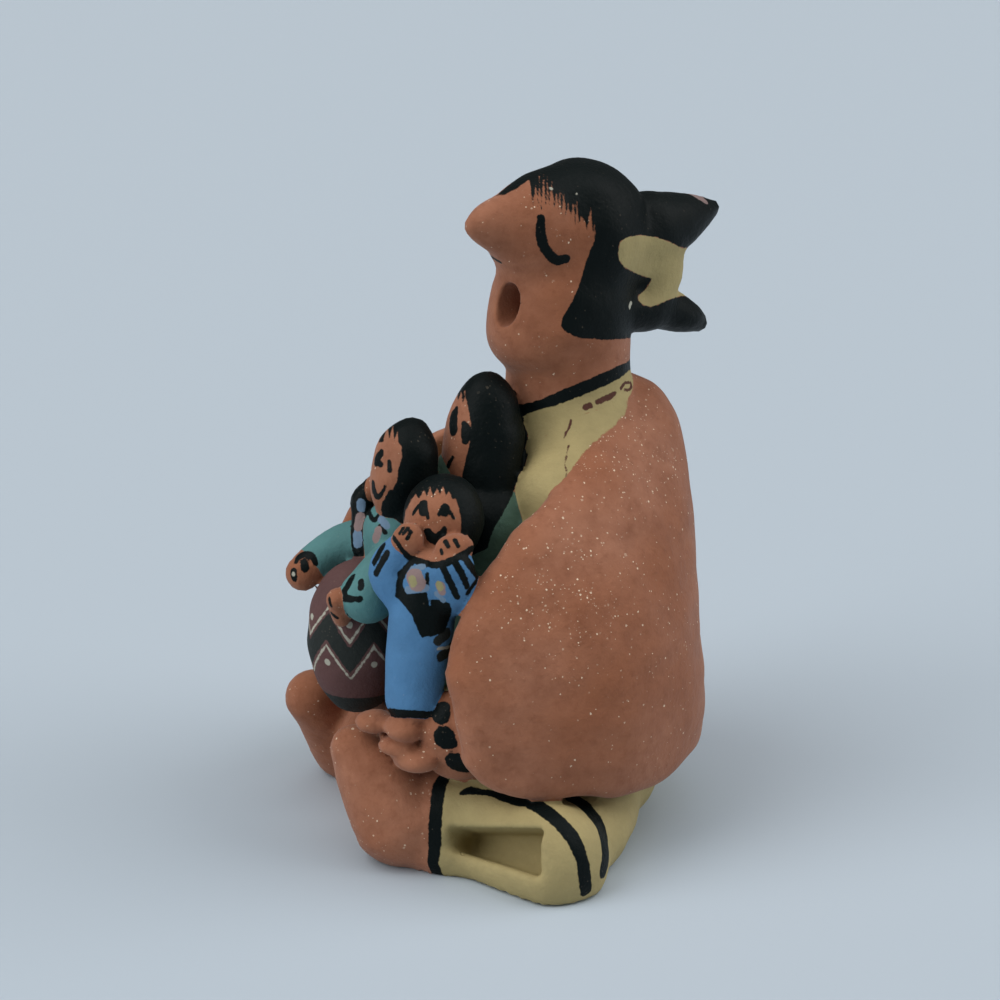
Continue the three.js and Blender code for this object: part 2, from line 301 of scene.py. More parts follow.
# Each group has its name, its forms, the blend between them and the blend to the groups before it
GROUPS = [
    ("trunk", [
        roll([[0, 12, 59, 9.6], [0, 11, 42, 15], [0, 10, 20, 19]]),
        egg([0, -6, 7], [27, 19.5, 16]),
        egg([0, 10, 8], [22.5, 13.8, 12.6]),
    ], 3, 0),
    ("neck", [roll([[0, 11.2, 76, 9.8], [0, 11.2, 62, 9.6]], [0.88, 1, 1])], 0, 1.5),
    ("head", [
        egg([0, 13.4, 88.6], [10, 10.5, 11.4]),
        egg([0, 6, 90], [7.5, 8.4, 8.8]),
        egg([0, 10.2, 79.4], [9.4, 11.4, 9.8]),
        egg([0, 8, 75], [8.6, 10.3, 7.6]),
        roll([[0, 3.4, 91, 6.2], [0, -3.2, 91.9, 3.5], [0, -6.3, 92, 1.6]], [0.85, 1, 1]),
    ], 2, 1.5),
    ("knot", [
        roll([[0, 23.8, 89, 5.4], [0, 25.2, 83, 5], [0, 24, 77, 4.4]]),
        roll([[0, 15.4, 84.5, 5.5], [0, 22.4, 84.5, 4.6]]),
        roll(
            [[0, 16.4, 87.4, 5.2], [0, 25.9, 88.9, 4.9], [0, 31.4, 89.5, 3.7], [0, 38.3, 90.5, 1.1]],
            [1.15, 1, 1],
        ),
        roll(
            [[0, 16.4, 77.4, 4.4], [0, 25.4, 76.4, 3.7], [0, 32, 74.2, 2.7], [0, 35.6, 72.6, 1.5]],
            [1.15, 1, 1],
        ),
    ], 1.2, 0.8),
    ("leg", LEG + [mirrored(f) for f in LEG], 5, 1),
    ("left foot", [
        roll([[15.1, -21.8, 6.8, 7.7], [13.2, -24.8, 12.4, 6.1], [11.4, -27.2, 16.4, 4.1]]),
    ], 0, 1),
    ("right foot", [
        roll([[-17.5, -19.4, 5, 6.2], [-14.5, -24, 12, 5], [-12.6, -27, 16, 4.2]]),
    ], 0, 1),
    ("arm", ARM + [mirrored(f) for f in ARM], 1, 3.5),
    ("hand", HAND + [mirrored(f) for f in HAND], 1, 0.6),
    ("jar", [egg(JAR_PLACE, [7, 7.6, 12.4])], 0, 0.4),
    ("first body", [roll([[1, -16.5, 46, 5.4], [1, -15, 26, 7]])], 0, 0.5),
    ("first head", [egg([2.3, -16.2, 56.2], [4.8, 4.8, 8], [-16, 0, 0])], 0, 0.5),
    ("first hair", [roll([[3, -15.4, 58.5, 4.2], [3.2, -15, 50, 3.8]])], 0, 0.5),
    ("first braid", [
        roll([
            [-1.2, -17.5, 54, 1.6], [-3.9, -20.6, 50.6, 1.7],
            [-3.2, -21.2, 47.2, 1.7], [-1.8, -21.8, 42.8, 1.5],
        ]),
    ], 0, 0.4),
    ("first far arm", [
        roll([[-3.5, -18.5, 44.5, 3.2], [-7, -24, 42, 3.2], [-6.8, -29.6, 38.6, 2.5]]),
    ], 0, 0.5),
    ("first near arm", [roll([[5, -18, 44, 3], [7.6, -24.2, 39, 4.2]])], 0, 0.5),
    ("first near hand", [roll([[6.9, -28.4, 38.8, 2], [5.8, -27.6, 35.4, 1.6]])], 0, 0.5),
    ("second body", [
        roll([[6, -4, 47, 7.5], [5, -5, 28, 8]]),
        egg([1.5, -9, 53], [3.4, 3.2, 4.5]),
    ], 1, 0.5),
    ("second head", [egg([2.8, -4, 59.2], [5.6, 6, 10.6], [-8, 0, 0])], 0, 0.5),
    ("second hair", [roll([[3.5, -3.3, 60, 5.4], [6.4, -3.9, 50.5, 4.2]])], 0, 0.5),
    ("third body", [
        roll([[16, -17.5, 44, 5], [17.5, -19.5, 34, 4.6], [18.3, -20.6, 26.6, 4.2]]),
    ], 0, 0.5),
    ("third head", [egg([12.8, -14.1, 51.3], [5.9, 5.8, 6.6])], 0, 0.5),
    ("third left arm", [roll([[19, -15.2, 42.5, 4], [20, -15.8, 46, 3.4]])], 0, 0.5),
    ("third right arm", [
        roll([[15.8, -19.8, 40, 3.3], [14.2, -22.8, 44.6, 3], [15, -21.2, 47.6, 2.6]]),
    ], 0, 0.5),
    ("third hands", [
        egg([16.2, -20.5, 49.8], [2.2, 2.3, 2.7]),
        egg([19.6, -15, 48.9], [2.2, 2.8, 2]),
    ], 0, 0.4),
    ("third feet", [
        egg([15.2, -25.8, 22.4], [2.6, 2.9, 1.7]),
        egg([19.4, -22.8, 22.6], [3.3, 2.9, 1.7]),
        egg([19.2, -24, 19.9], [2.8, 2.6, 1.1]),
        egg([20.4, -21.3, 18.2], [4.2, 3.4, 1.7]),
        egg([16.6, -24, 19.5], [1.7, 1.4, 1.3]),
    ], 0.15, 0.3),
    ("blanket", [(blanket_field, *BLANKET_BOX)], 0, 0.6),
]

# Hollows: the mouth, made like a group, and the slot with its half length and half depth, its half
# heights at the ankle and at the knee, and the blends of its lips from the lower to the upper

MOUTH = ("mouth", [egg([0.4, -1.4, 79.8], [2.2, 10.5, 3.2])], 0, 0.4)
SLOT_PLACE = np.array([29.9, -12.2, 6.65])
SLOT_HALVES = np.array([7.7, 5.4])
SLOT_HEIGHTS = (1.5, 3.3)
SLOT_TURNS = (-32, -6, 37)
SLOT_ROUND = 1
SLOT_LIPS = (2.2, 0.6)
SLOT_LIP_SPAN = (-1, 0.3)

# Groups that are worked out in a frame of their own
FRAMES = {"head": to_head, "knot": to_knot, "mouth": to_head}


def slot_distance_and_lip(p):
    """A rounded box cut up into the left shin, taller towards the knee, and the blend of its edge."""
    q = (p - SLOT_PLACE) @ turn_matrix(SLOT_TURNS)
    half_height = np.interp(q[:, 0], (-SLOT_HALVES[0], SLOT_HALVES[0]), SLOT_HEIGHTS)
    off = np.abs(q) - np.column_stack([np.tile(SLOT_HALVES, (len(q), 1)), half_height])
    off += SLOT_ROUND
    distance = lengths(np.maximum(off, 0)) + np.minimum(off.max(axis=1), 0) - SLOT_ROUND
    return distance, np.interp(q[:, 2] / half_height, SLOT_LIP_SPAN, SLOT_LIPS)


def in_box(p, low, high, margin=FAR):
    """Which points lie in a box or near it."""
    return np.nonzero(np.all((p > low - margin) & (p < high + margin), axis=1))[0]


def group_field(group, points):
    """Distance to a group's forms, cut off at FAR."""
    name, forms, blend, _ = group
    made = np.full(len(points), np.inf)
    local = FRAMES.get(name, as_is)(points)
    near = in_box(local, np.min([f[1] for f in forms], axis=0), np.max([f[2] for f in forms], axis=0))
    local = local[near]
    part = made[near]
    for field, low, high in forms:
        chosen = in_box(local, low, high)
        if len(chosen):
            part[chosen] = smooth_least(part[chosen], field(local[chosen]), blend)
    made[near] = part
    return np.minimum(made, FAR)


# The unevenness of clay shaped by hand: lengths and heights of its waves, how many there are of each and
# what their heights are divided by for it
WOBBLES = [(16, 0.16), (9, 0.1), (5.5, 0.06)]
WOBBLE_WAVES = 3
WOBBLE_EVENING = 1.7
WOBBLE_SEED = 5


def wobble(p):
    """Waves in random directions, which are the same ones at every call."""
    rng = np.random.default_rng(WOBBLE_SEED)
    total = np.zeros(len(p))
    for length, height in WOBBLES:
        for _ in range(WOBBLE_WAVES):
            way = unit(rng.normal(size=3)) * 2 * math.pi / length
            total += height * np.sin(p @ way + rng.uniform(0, 2 * math.pi)) / WOBBLE_EVENING
    return total


def figure_field(points):
    """Signed distance to the whole figure: the joined groups less the hollows, over a flat underside."""
    made = np.full(len(points), FAR)
    for group in GROUPS:
        made = smooth_least(made, group_field(group, points), group[-1])
    made = made + wobble(points)
    made = -smooth_least(-made, group_field(MOUTH, points), MOUTH[-1])
    near = np.nonzero(lengths(points - SLOT_PLACE) < SLOT_HALVES.max() * 2)[0]
    slot, lip = slot_distance_and_lip(points[near])
    made[near] = -smooth_least(-made[near], slot, lip)
    return np.maximum(made, -points[:, 2])


# Mesh: a grid of cells over the box that holds the figure, worked out first at every few cells, and then
# in the blocks whose corners come within so many coarse cells of the surface

CELL = 1.0
COARSE = 4
NEAR_BLOCK = 1.3
GRID_LOW = np.array([-42.0, -36, -2])
GRID_HIGH = np.array([42.0, 44, 103])
SLOPE_STEP = 0.05
LEAST_SLOPE = 0.2
LONGEST_MOVE = 0.5


def part_of(grid, start, counts):
    return grid[tuple(slice(a, a + n) for a, n in zip(start, counts))]


def grid_field():
    """The field on the grid, worked out only near the surface."""
    counts = np.ceil((GRID_HIGH - GRID_LOW) / (CELL * COARSE)).astype(int)
    axes = [GRID_LOW[i] + CELL * COARSE * np.arange(counts[i] + 1) for i in range(3)]
    rough = np.stack(np.meshgrid(*axes, indexing="ij"), -1)
    values = figure_field(rough.reshape(-1, 3)).reshape(rough.shape[:3])
    fine_counts = counts * COARSE + 1
    made = np.sign(values) * FAR
    for axis in range(3):
        made = np.repeat(made, COARSE, axis)
    made = part_of(made, (0, 0, 0), fine_counts).copy()
    least = np.full(counts, np.inf)
    for corner in np.ndindex(2, 2, 2):
        least = np.minimum(least, np.abs(part_of(values, corner, counts)))
    blocks = np.argwhere(least < CELL * COARSE * NEAR_BLOCK)
    local = np.stack(np.meshgrid(*[np.arange(COARSE + 1)] * 3, indexing="ij"), -1).reshape(-1, 3)
    index = (blocks[:, None] * COARSE + local[None]).reshape(-1, 3)
    flat = np.unique(np.ravel_multi_index(index.T, fine_counts))
    index = np.column_stack(np.unravel_index(flat, fine_counts))
    made.ravel()[flat] = figure_field(GRID_LOW + index * CELL)
    return made


def cell_points(values):
    """A point of the zero surface in each cell that it crosses, and the number of each cell's point."""
    inside = values < 0
    shape = np.array(values.shape) - 1
    total = np.zeros((*shape, 3))
    count = np.zeros(shape)
    for axis in range(3):
        for c in np.ndindex(2, 2, 2):
            if c[axis]:
                continue
            d = tuple(1 if i == axis else c[i] for i in range(3))
            a, b = (part_of(values, end, shape) for end in (c, d))
            crossing = part_of(inside, c, shape) != part_of(inside, d, shape)
            share = np.where(crossing, a / np.where(crossing, a - b, 1), 0)
            for i in range(3):
                total[..., i] += crossing * (c[i] + (share if i == axis else 0))
            count += crossing
    cells = np.argwhere(count > 0)
    number = np.full(shape, -1)
    number[tuple(cells.T)] = np.arange(len(cells))
    spots = total[tuple(cells.T)] / count[tuple(cells.T)][:, None]
    return GRID_LOW + (cells + spots) * CELL, number


def surface_nets(values):
    """The zero surface, which stays off the grid's border, as points and a quad round each edge it cuts."""
    points, number = cell_points(values)
    inside = values < 0
    quads = []
    for axis in range(3):
        u, v = (axis + 1) % 3, (axis + 2) % 3
        edges = np.argwhere(inside != np.roll(inside, -1, axis=axis))
        step_u, step_v = np.eye(3, dtype=int)[u], np.eye(3, dtype=int)[v]
        steps = (0 * step_u, step_u, step_u + step_v, step_v)
        quad = np.column_stack([number[tuple((edges - step).T)] for step in steps])
        outward = inside[tuple(edges.T)]
        quad[~outward] = quad[~outward][:, ::-1]
        quads.append(quad)
    return points, np.concatenate(quads)


def slopes(points):
    """How steeply the field climbs along each axis."""
    made = np.empty_like(points)
    for i, axis in enumerate(np.eye(3) * SLOPE_STEP):
        made[:, i] = figure_field(points + axis) - figure_field(points - axis)
    return made / (2 * SLOPE_STEP)


def onto_surface(points, rounds=2):
    """Points moved along the field's slope until they lie on the figure."""
    for _ in range(rounds):
        slope = slopes(points)
        move = figure_field(points)[:, None] * slope / np.maximum((slope**2).sum(1), LEAST_SLOPE)[:, None]
        size = lengths(move)[:, None]
        points = points - move * np.minimum(1, LONGEST_MOVE / np.maximum(size, TINY))
    return points


# The photo's camera, in the forms' frame

CAMERA_AZIMUTH = math.radians(68)
CAMERA_ELEVATION = math.radians(17)
CAMERA_TARGET = np.array([0, 0, 48.78])
CAMERA_DISTANCE = 327.7
FOCAL_PIXELS = 2150
FRAME_PIXELS = 1000
CAMERA_BACK = np.array([
    math.sin(CAMERA_AZIMUTH) * math.cos(CAMERA_ELEVATION),
    -math.cos(CAMERA_AZIMUTH) * math.cos(CAMERA_ELEVATION),
    math.sin(CAMERA_ELEVATION),
])
CAMERA_RIGHT = np.array([math.cos(CAMERA_AZIMUTH), math.sin(CAMERA_AZIMUTH), 0])
CAMERA_UP = np.cross(CAMERA_BACK, CAMERA_RIGHT)
CAMERA_PLACE = CAMERA_TARGET + CAMERA_BACK * CAMERA_DISTANCE
# A photo pixel's width at the figure
PIXEL = CAMERA_DISTANCE / FOCAL_PIXELS
# A line of sight is followed from this far before the target, by a share of the distance at each step
CAST_START = 60
CAST_STEPS = 90
CAST_STRIDE = 0.8
CAST_MISS = 0.1


def project(p):
    """Pixels of the photo where points show."""
    q = p - CAMERA_PLACE
    scale = FOCAL_PIXELS / -(q @ CAMERA_BACK)
    across = FRAME_PIXELS / 2 + scale * (q @ CAMERA_RIGHT)
    down = FRAME_PIXELS / 2 - scale * (q @ CAMERA_UP)
    return np.column_stack([across, down])


def cast(pixels, field=figure_field):
    """Where the lines of sight through pixels meet the figure or another field, and whether they do."""
    across = (pixels[:, :1] - FRAME_PIXELS / 2) * CAMERA_RIGHT
    up = (FRAME_PIXELS / 2 - pixels[:, 1:2]) * CAMERA_UP
    way = unit_rows(across + up - FOCAL_PIXELS * CAMERA_BACK)
    reach = np.full(len(pixels), CAMERA_DISTANCE - CAST_START)
    for _ in range(CAST_STEPS):
        gap = field(CAMERA_PLACE + way * reach[:, None])
        reach += CAST_STRIDE * gap
    return CAMERA_PLACE + way * reach[:, None], np.abs(gap) < CAST_MISS


# Paint: where each colour goes. Strokes are rows of photo pixels with the brush's width there,
# and areas are outlines in photo pixels.

HAIR_TOP = [(430, 60), (430, 188), (480, 191), (494, 196), (505, 194.5), (515, 189.5), (529, 180)]
HAIR_SIDE = [
    (595, 228), (595, 240), (590, 250), (586, 262), (580, 282), (572, 302), (563, 316), (561, 326),
    (567, 333), (580, 338), (606, 340), (634, 338), (640, 345), (760, 345), (760, 60),
]
# The fringe hangs in teeth. The heights of their roots and tips go by the way across, and each tooth is
# shifted, starts and ends off them at random.
FRINGE_SEED = 8
FRINGE_TEETH = 16
FRINGE_ACROSS = (531, 594)
FRINGE_ROOTS = [(531, 180), (545, 182), (560, 195), (575, 207), (594, 219)]
FRINGE_TIPS = [(531, 209), (547, 213), (560, 219), (575, 229), (594, 244)]
TOOTH_SHIFT = 1
TOOTH_ROOT = (-12, 7)
TOOTH_TIP = (0, 9)
TOOTH_LEAN = 2.2
BINDING = [
    (618, 252), (620, 242), (627, 237), (640, 235), (656, 237), (670, 242), (682, 248), (720, 248),
    (720, 296), (681, 296), (668, 300), (660, 304), (651, 307), (643, 305), (638, 300), (638, 296),
    (646, 289), (652, 279), (637, 274), (624, 267), (619, 260),
]
COLLAR = [(522, 408), (528, 410), (555, 398), (585, 389), (608, 376), (624, 370), (633, 360)]
ANKLE = [(440, 782), (439, 791), (437, 805), (435.5, 819), (434, 840), (433, 862)]
NAILS = [
    [(430, 713), (432, 706), (437, 702), (444, 701), (449, 703), (451, 713), (449, 722), (441, 725),
     (434, 722)],
    [(433, 736), (435, 730), (441, 726), (449, 727), (455, 734), (458, 746), (453, 749), (443, 749),
     (436, 745)],
    [(444, 757), (449, 753), (458, 753), (468, 757), (476, 771), (466, 773), (455, 771), (447, 766)],
]
FIRST_FACE = [
    (340, 440), (378, 443), (383, 442), (388, 424), (389, 440), (393, 425), (394, 441), (398, 429),
    (398, 442), (401, 446), (402, 458), (399, 466), (397, 480), (391, 493), (381, 515), (374, 520),
    (340, 520),
]
SECOND_FACE = [
    (420, 400), (453, 398), (457, 389), (458, 402), (461, 392), (463, 404), (465, 391), (467, 404),
    (469, 412), (471, 422), (470, 432), (469, 446), (466, 458), (461, 480), (420, 480),
]
THIRD_FACE = [
    (403, 540), (404, 520), (406, 510), (411, 500), (416, 494), (419, 499), (424, 490), (427, 496),
    (430, 487), (433, 497), (437, 488), (440, 495), (443, 486), (446, 496), (449, 491), (452, 499),
    (456, 499), (459, 508), (461, 520), (461, 540), (470, 570), (403, 570),
]
THIRD_SKIN = [
    (380, 500), (390, 533), (394, 541), (402, 551), (411, 560), (421, 564), (434, 565), (447, 562),
    (460, 556), (474, 549), (482, 545), (500, 500),
]
THIRD_LEFT_PLAIT = [
    (397, 572), (405, 566), (402, 584), (407, 594), (427, 592), (431, 612), (436, 635), (421, 638),
    (412, 616), (398, 598),
]
THIRD_RIGHT_PLAIT = [(431, 600), (438, 599), (450, 603), (452, 612), (444, 633), (430, 637)]
SECOND_LOOSE_HAIR = [
    (455, 476), (516, 476), (513, 494), (507, 506), (500, 519), (492, 532), (487, 549), (470, 556),
    (462, 520),
]
BELOW_ROBE = [(370, 717), (386, 717), (424, 719), (432, 719), (432, 745), (370, 745)]
ROBE_HEM = [(370, 708), (384, 708), (424, 711), (432, 711), (432, 719), (370, 717)]

EYE = [(541, 218.5, 7), (540.5, 231, 9), (543, 244, 9), (549, 254, 9), (556.5, 260, 9), (566, 258.5, 7)]
# Dark line under the nose: partly a nostril mark, partly painted shade in the crease above the upper lip
NOSTRIL_AND_CREASE_SHADE = [(489.5, 255, 1.4), (495, 259, 1.8), (500, 262, 1.4)]
KNOT_PATCH = [(686, 192, 5), (694, 194.5, 8), (702, 199, 6)]
HEAD_SPECKS = [
    [(550.5, 188, 2), (551, 188.5, 2)],
    [(576.5, 193.5, 0.9), (577, 194, 0.9)],
    [(629.5, 307, 2), (631, 303, 2)],
]
LEG_STRIPES = [
    [(462, 793, 4), (475, 790, 8), (493, 792, 9), (515, 797, 11), (535, 804, 12), (557, 820, 12),
     (574, 840, 12), (582, 860, 11), (585, 877, 11), (586, 891, 10)],
    [(572, 798, 9), (585, 807, 9), (599, 825, 10), (605, 843, 9), (606.5, 858, 9), (604, 870, 7)],
]
SHIRT_MARKS = [
    [(586, 407, 6), (590, 405.5, 5)],
    [(597, 402.5, 4), (604, 399, 5), (610, 396.5, 5), (615, 393, 3.5)],
    [(621, 388, 2.5), (625, 383, 2), (631, 383.5, 2), (630, 389, 2), (624, 390, 2)],
    [(633, 379, 1.5), (636, 376, 1.5)],
    [(571, 420, 0.8), (569, 428, 1.4), (566, 433, 1.9), (564, 438, 1)],
    [(569, 445, 1.1), (566.5, 455, 0.8), (565, 464, 0.5), (566.5, 472, 0.6), (565.5, 479, 0.9)],
]
FIRST_EYES = [[(381, 453, 5), (377, 460, 6), (381, 464, 5)], [(389, 461, 3), (389.5, 470, 4)]]
FIRST_SMILE = [(373, 484, 3), (374.5, 493, 4), (378, 497, 4), (382, 493, 3), (385, 486, 2)]
FIRST_HAIR_END = [(392, 493, 6), (386, 504, 7), (384, 511, 6)]
FIRST_SHIRT = [[(368, 511, 3), (374, 520, 4), (381, 512, 3)], [(380, 526, 4), (385, 532, 4)]]
FIRST_SLEEVE = [
    [(352, 577, 4), (345, 590, 5), (343, 597, 6), (350, 599, 6), (361, 599, 5)],
    [(361, 581, 5), (361, 588, 5)],
    [(338, 602, 5), (343, 613, 7), (354, 626, 7)],
]
NEAR_FINGERS = [[(329, 598, 2), (331, 606, 2)], [(332, 614, 2), (337, 618, 2)]]
FAR_CUFF = [(296, 562, 3), (300, 556, 5), (307, 554, 6), (313, 557, 6), (316, 564, 4)]
FAR_FINGERS = [[(304, 562, 7), (305, 569, 7)], [(293.5, 571, 6), (294, 579, 5)]]
FAR_SPECK = [(293.5, 573.5, 2.4), (293.5, 574.5, 2.4)]
BRAID_TIES = [[(361, 503, 8), (361, 508, 8)], [(357, 535, 9), (357, 543, 9)]]
BRAID_BEAD = [(360, 517, 9), (358, 526, 9)]
LOCK_TIE = [(381, 519, 7), (387, 526, 6)]
LOCK_BEAD = [(378, 531, 7), (375, 540, 6)]
SECOND_EYES = [
    [(456, 409, 3), (453, 418, 7), (453, 430, 7)],
    [(464, 424, 5), (467, 433, 11), (465, 441, 6)],
]
SECOND_SMILE = [[(446, 471, 2.5), (449, 464, 3), (453, 457, 2.5)], [(443, 459, 1.5), (446, 470, 1.5)]]
THIRD_EYES = [
    [(413, 514, 2), (417, 508, 2.5), (421, 503, 3)], [(423, 505, 8), (423, 511, 8)],
    [(427, 512, 2), (428, 518, 2)], [(439, 515, 2), (441, 509, 2.5), (444, 505, 3)],
    [(445, 508, 8.5), (445, 512, 8.5)], [(450, 512, 3), (454, 518, 2.5)],
]
THIRD_MOUTH = [(428.5, 533, 7), (432, 538, 9), (437, 539, 10), (442, 534, 8), (444.5, 529, 4)]
THIRD_FINGERS = [
    [(403, 528, 2.2), (400, 533, 2.2)], [(408, 528, 2.5), (403, 534, 2.5)],
    [(411, 532, 3), (407, 539, 3)], [(441, 550, 2.2), (442, 554, 2.2)],
    [(445, 541, 3.5), (448, 546, 3.5)], [(455, 540, 3.5), (458, 546, 3.5)],
]
THIRD_COLLAR = [
    (393, 537, 3), (400, 547, 3.5), (408, 556, 4.5), (415, 560, 6), (424, 563, 6), (436, 565, 5.5),
    (448, 562, 6), (460, 556, 6), (472, 549, 5), (480, 545, 5),
]
THIRD_ROBE = [
    [(413, 561, 5), (405, 570, 5), (400, 582, 5), (398, 596, 4)], [(382, 546, 4), (374, 562, 4)],
    [(387, 553, 5), (376, 573, 5)], [(443, 568, 5), (450, 582, 6), (457, 597, 5)],
    [(455, 562, 6), (462, 574, 6), (467, 586, 5)], [(464, 556, 6), (472, 567, 6), (478, 576, 5)],
    [(478, 578, 2.5), (467, 594, 2.5)], [(427, 574, 3), (427, 588, 3)],
]
THIRD_TIES = [
    [(412, 569, 4), (423, 566.5, 4.5)],
    [(408, 590, 6), (426, 588, 6)],
    [(437, 594, 4.5), (443, 600, 4)],
]
THIRD_BEADS = [[(414, 577, 15), (417, 583, 15)], [(440, 586, 8), (442, 592, 6)]]
THIRD_BEAD_MIDDLES = [[(412, 579, 6), (413, 583, 6)], [(439, 584, 5), (440, 588, 5)]]
DARK_FOLDS = [[(438, 641, 8), (447, 634, 9)], [(441, 656, 8), (450, 651, 8)]]
FOLD_LINE = [(438, 649, 1.8), (449, 647, 1.8)]

HEADS_OF_FIRST = ("first head", "first hair")
HEADS_OF_SECOND = ("second head", "second hair")
ROBE = ("third body", "third left arm", "third right arm")
SHIRT = ("neck", "trunk", "arm")
LEGS = ("leg", "left foot", "right foot")

# Colour, the forms it lies on, the strokes and what repeats them on its other side, if anything does
STROKES = [
    ("black", ("head",), [EYE], "head"),
    # Nostril mark with painted shade in the crease under the nose
    ("dark", ("head",), [NOSTRIL_AND_CREASE_SHADE]),
    ("pink", ("knot",), [KNOT_PATCH]),
    ("white", ("head", "knot"), HEAD_SPECKS),
    ("black", LEGS, LEG_STRIPES, "body"),
    ("brown", SHIRT, SHIRT_MARKS),
    ("black", HEADS_OF_FIRST, [*FIRST_EYES, FIRST_SMILE]),
    ("black", (*HEADS_OF_FIRST, "first body"), [FIRST_HAIR_END]),
    ("black", ("first body",), FIRST_SHIRT),
    ("black", ("first near arm",), FIRST_SLEEVE),
    ("black", ("first near hand",), NEAR_FINGERS),
    ("black", ("first far arm",), [FAR_CUFF, *FAR_FINGERS]),
    ("white", ("first far arm",), [FAR_SPECK]),
    ("pale blue", ("first braid",), BRAID_TIES),
    ("pink", ("first braid",), [BRAID_BEAD]),
    ("pale blue", (*HEADS_OF_FIRST, "first body"), [LOCK_TIE]),
    ("pink", (*HEADS_OF_FIRST, "first body"), [LOCK_BEAD]),
    ("black", HEADS_OF_SECOND, [*SECOND_EYES, *SECOND_SMILE]),
    ("black", ("third head", "third hands"), [*THIRD_EYES, THIRD_MOUTH]),
    ("black", ("third hands", "third left arm", "third right arm"), THIRD_FINGERS),
    ("black", (*ROBE, "third hands"), [THIRD_COLLAR]),
    ("black", ROBE, THIRD_ROBE),
    ("dark", ROBE, DARK_FOLDS),
    ("white", ROBE, [FOLD_LINE]),
    ("pale blue", ROBE, THIRD_TIES),
    ("pink", ROBE, THIRD_BEADS),
    ("yellow", ROBE, THIRD_BEAD_MIDDLES),
]


def hair_outline():
    """The outline of the storyteller's hair, with the fringe's teeth."""
    rng = np.random.default_rng(FRINGE_SEED)
    teeth = []
    for x in np.linspace(*FRINGE_ACROSS, FRINGE_TEETH):
        x += rng.uniform(-TOOTH_SHIFT, TOOTH_SHIFT)
        root = np.interp(x, *np.transpose(FRINGE_ROOTS)) + rng.uniform(*TOOTH_ROOT)
        tip = np.interp(x, *np.transpose(FRINGE_TIPS)) - rng.uniform(*TOOTH_TIP)
        teeth += [(x, root), (x + TOOTH_LEAN, tip)]
    return HAIR_TOP + teeth + HAIR_SIDE


# The forms that each colour covers
COVERED = {
    "cream": ("arm",),
    "teal": ("first body", "first far arm", "first near arm"),
    "green": ("second body",),
    "blue": ROBE,
    "maroon": ("jar",),
    "black": ("knot", *HEADS_OF_FIRST, "first braid", *HEADS_OF_SECOND, "third head"),
}
# Areas of a colour: the forms they lie on, the outline and what repeats them on its other side
AREAS = [
    ("cream", ("knot", "head"), BINDING, "head"),
    *[("black", ("hand",), outline, "body") for outline in NAILS],
    *[("black", ROBE, outline) for outline in (THIRD_LEFT_PLAIT, THIRD_RIGHT_PLAIT, ROBE_HEM)],
    ("black", ("second body", *HEADS_OF_SECOND), SECOND_LOOSE_HAIR),
    ("black", ("head", "neck", "knot"), hair_outline(), "head"),
]
# Bare clay or another colour within the forms that a colour covers
SPARED = [
    ("black", ("knot", "head"), BINDING, "head"),
    ("black", HEADS_OF_FIRST, FIRST_FACE, "first"),
    ("black", HEADS_OF_SECOND, SECOND_FACE, "second"),
    ("black", ("third head",), THIRD_FACE),
    ("blue", ROBE, THIRD_SKIN),
    ("blue", ROBE, BELOW_ROBE),
]
# How far a spared place reaches past its forms, how much faster than distance a form's border is left and
# how far off its forms a stroke's point may lie
SPARED_MARGIN = 2.5
CRISPNESS = 1.3
OFF_FORM = 1.3
# Paints and their colours in the order in which they are laid
PAINTS = {
    "cream": (0.41, 0.33, 0.15),
    "teal": (0.092, 0.235, 0.235),
    "green": (0.075, 0.145, 0.105),
    "blue": (0.075, 0.21, 0.40),
    "maroon": (0.115, 0.055, 0.052),
    "dark": (0.015, 0.02, 0.018),
    "black": (0.003, 0.006, 0.006),
    "white": (0.45, 0.44, 0.36),
    "pale blue": (0.16, 0.25, 0.36),
    "pink": (0.30, 0.21, 0.20),
    "yellow": (0.34, 0.31, 0.15),
    "brown": (0.09, 0.03, 0.018),
}
# The black bands at the collar and the ankles: half their width, and the height and pace of its waves
BAND_HALF = 0.85
BAND_WAVE = (0.14, 0.9)
ANKLE_WAY = unit([15, 9.7, 0])
# The brush is a little wider than the photo's line, and more so where the surface turns away
BRUSH_MARGIN = 0.07
WIDEST_CORRECTION = 2.3
STROKE_STEP_PIXELS = 3
LEAST_STROKE_STEPS = 2
STROKE_REACH = 3
LONGEST_STEP = 3
# The far sleeve ends at a cuff, and the lap's front is bare clay
CUFF_PLACE = np.array([-6.86, -27.9, 39.8])
CUFF_WAY = unit([0.03, -0.85, -0.52])
LAP_FRONT = -15
LAP_TOP = 24
# What is repeated on another side: its frame, the way back, the X of its middle and whether the photo's
# own side stays as seen, fully where the surface faces the camera by this much
FACING_FULL = 0.3
SIDES = {
    "head": (to_head, from_head, 0, True),
    "body": (as_is, as_is, 0, False),
    "first": (as_is, as_is, 2.3, True),
    "second": (as_is, as_is, 2.6, True),
}
# How far past where the surface turns away an area without another side ends
TURNED_AWAY = 2


def area_distance(p, facing, outline, side=None):
    """Distance to an area given by pixels, in hundredths, negative inside."""
    corners = np.array(outline, float)
    seen = polygon_distance(project(p), corners) * PIXEL
    if side is None:
        return np.maximum(seen, -TURNED_AWAY * facing)
    place, back, middle, kept = SIDES[side]
    local = place(p).copy()
    local[:, 0] = middle + np.abs(local[:, 0] - middle)
    folded = polygon_distance(project(back(local)), corners) * PIXEL
    share = np.clip(facing / FACING_FULL, 0, 1) if kept else 0
    return folded + (seen - folded) * share


def covers(fields, names):
    """Signed distance to the border of some groups of forms, negative on them."""
    mask = np.isin([group[0] for group in GROUPS], names)
    return (fields[mask].min(0) - fields[~mask].min(0)) * CRISPNESS


def only(names):
    """The field of some groups of forms."""
    groups = [group for group in GROUPS if group[0] in names]
    return lambda points: np.min([group_field(group, points) for group in groups], axis=0)


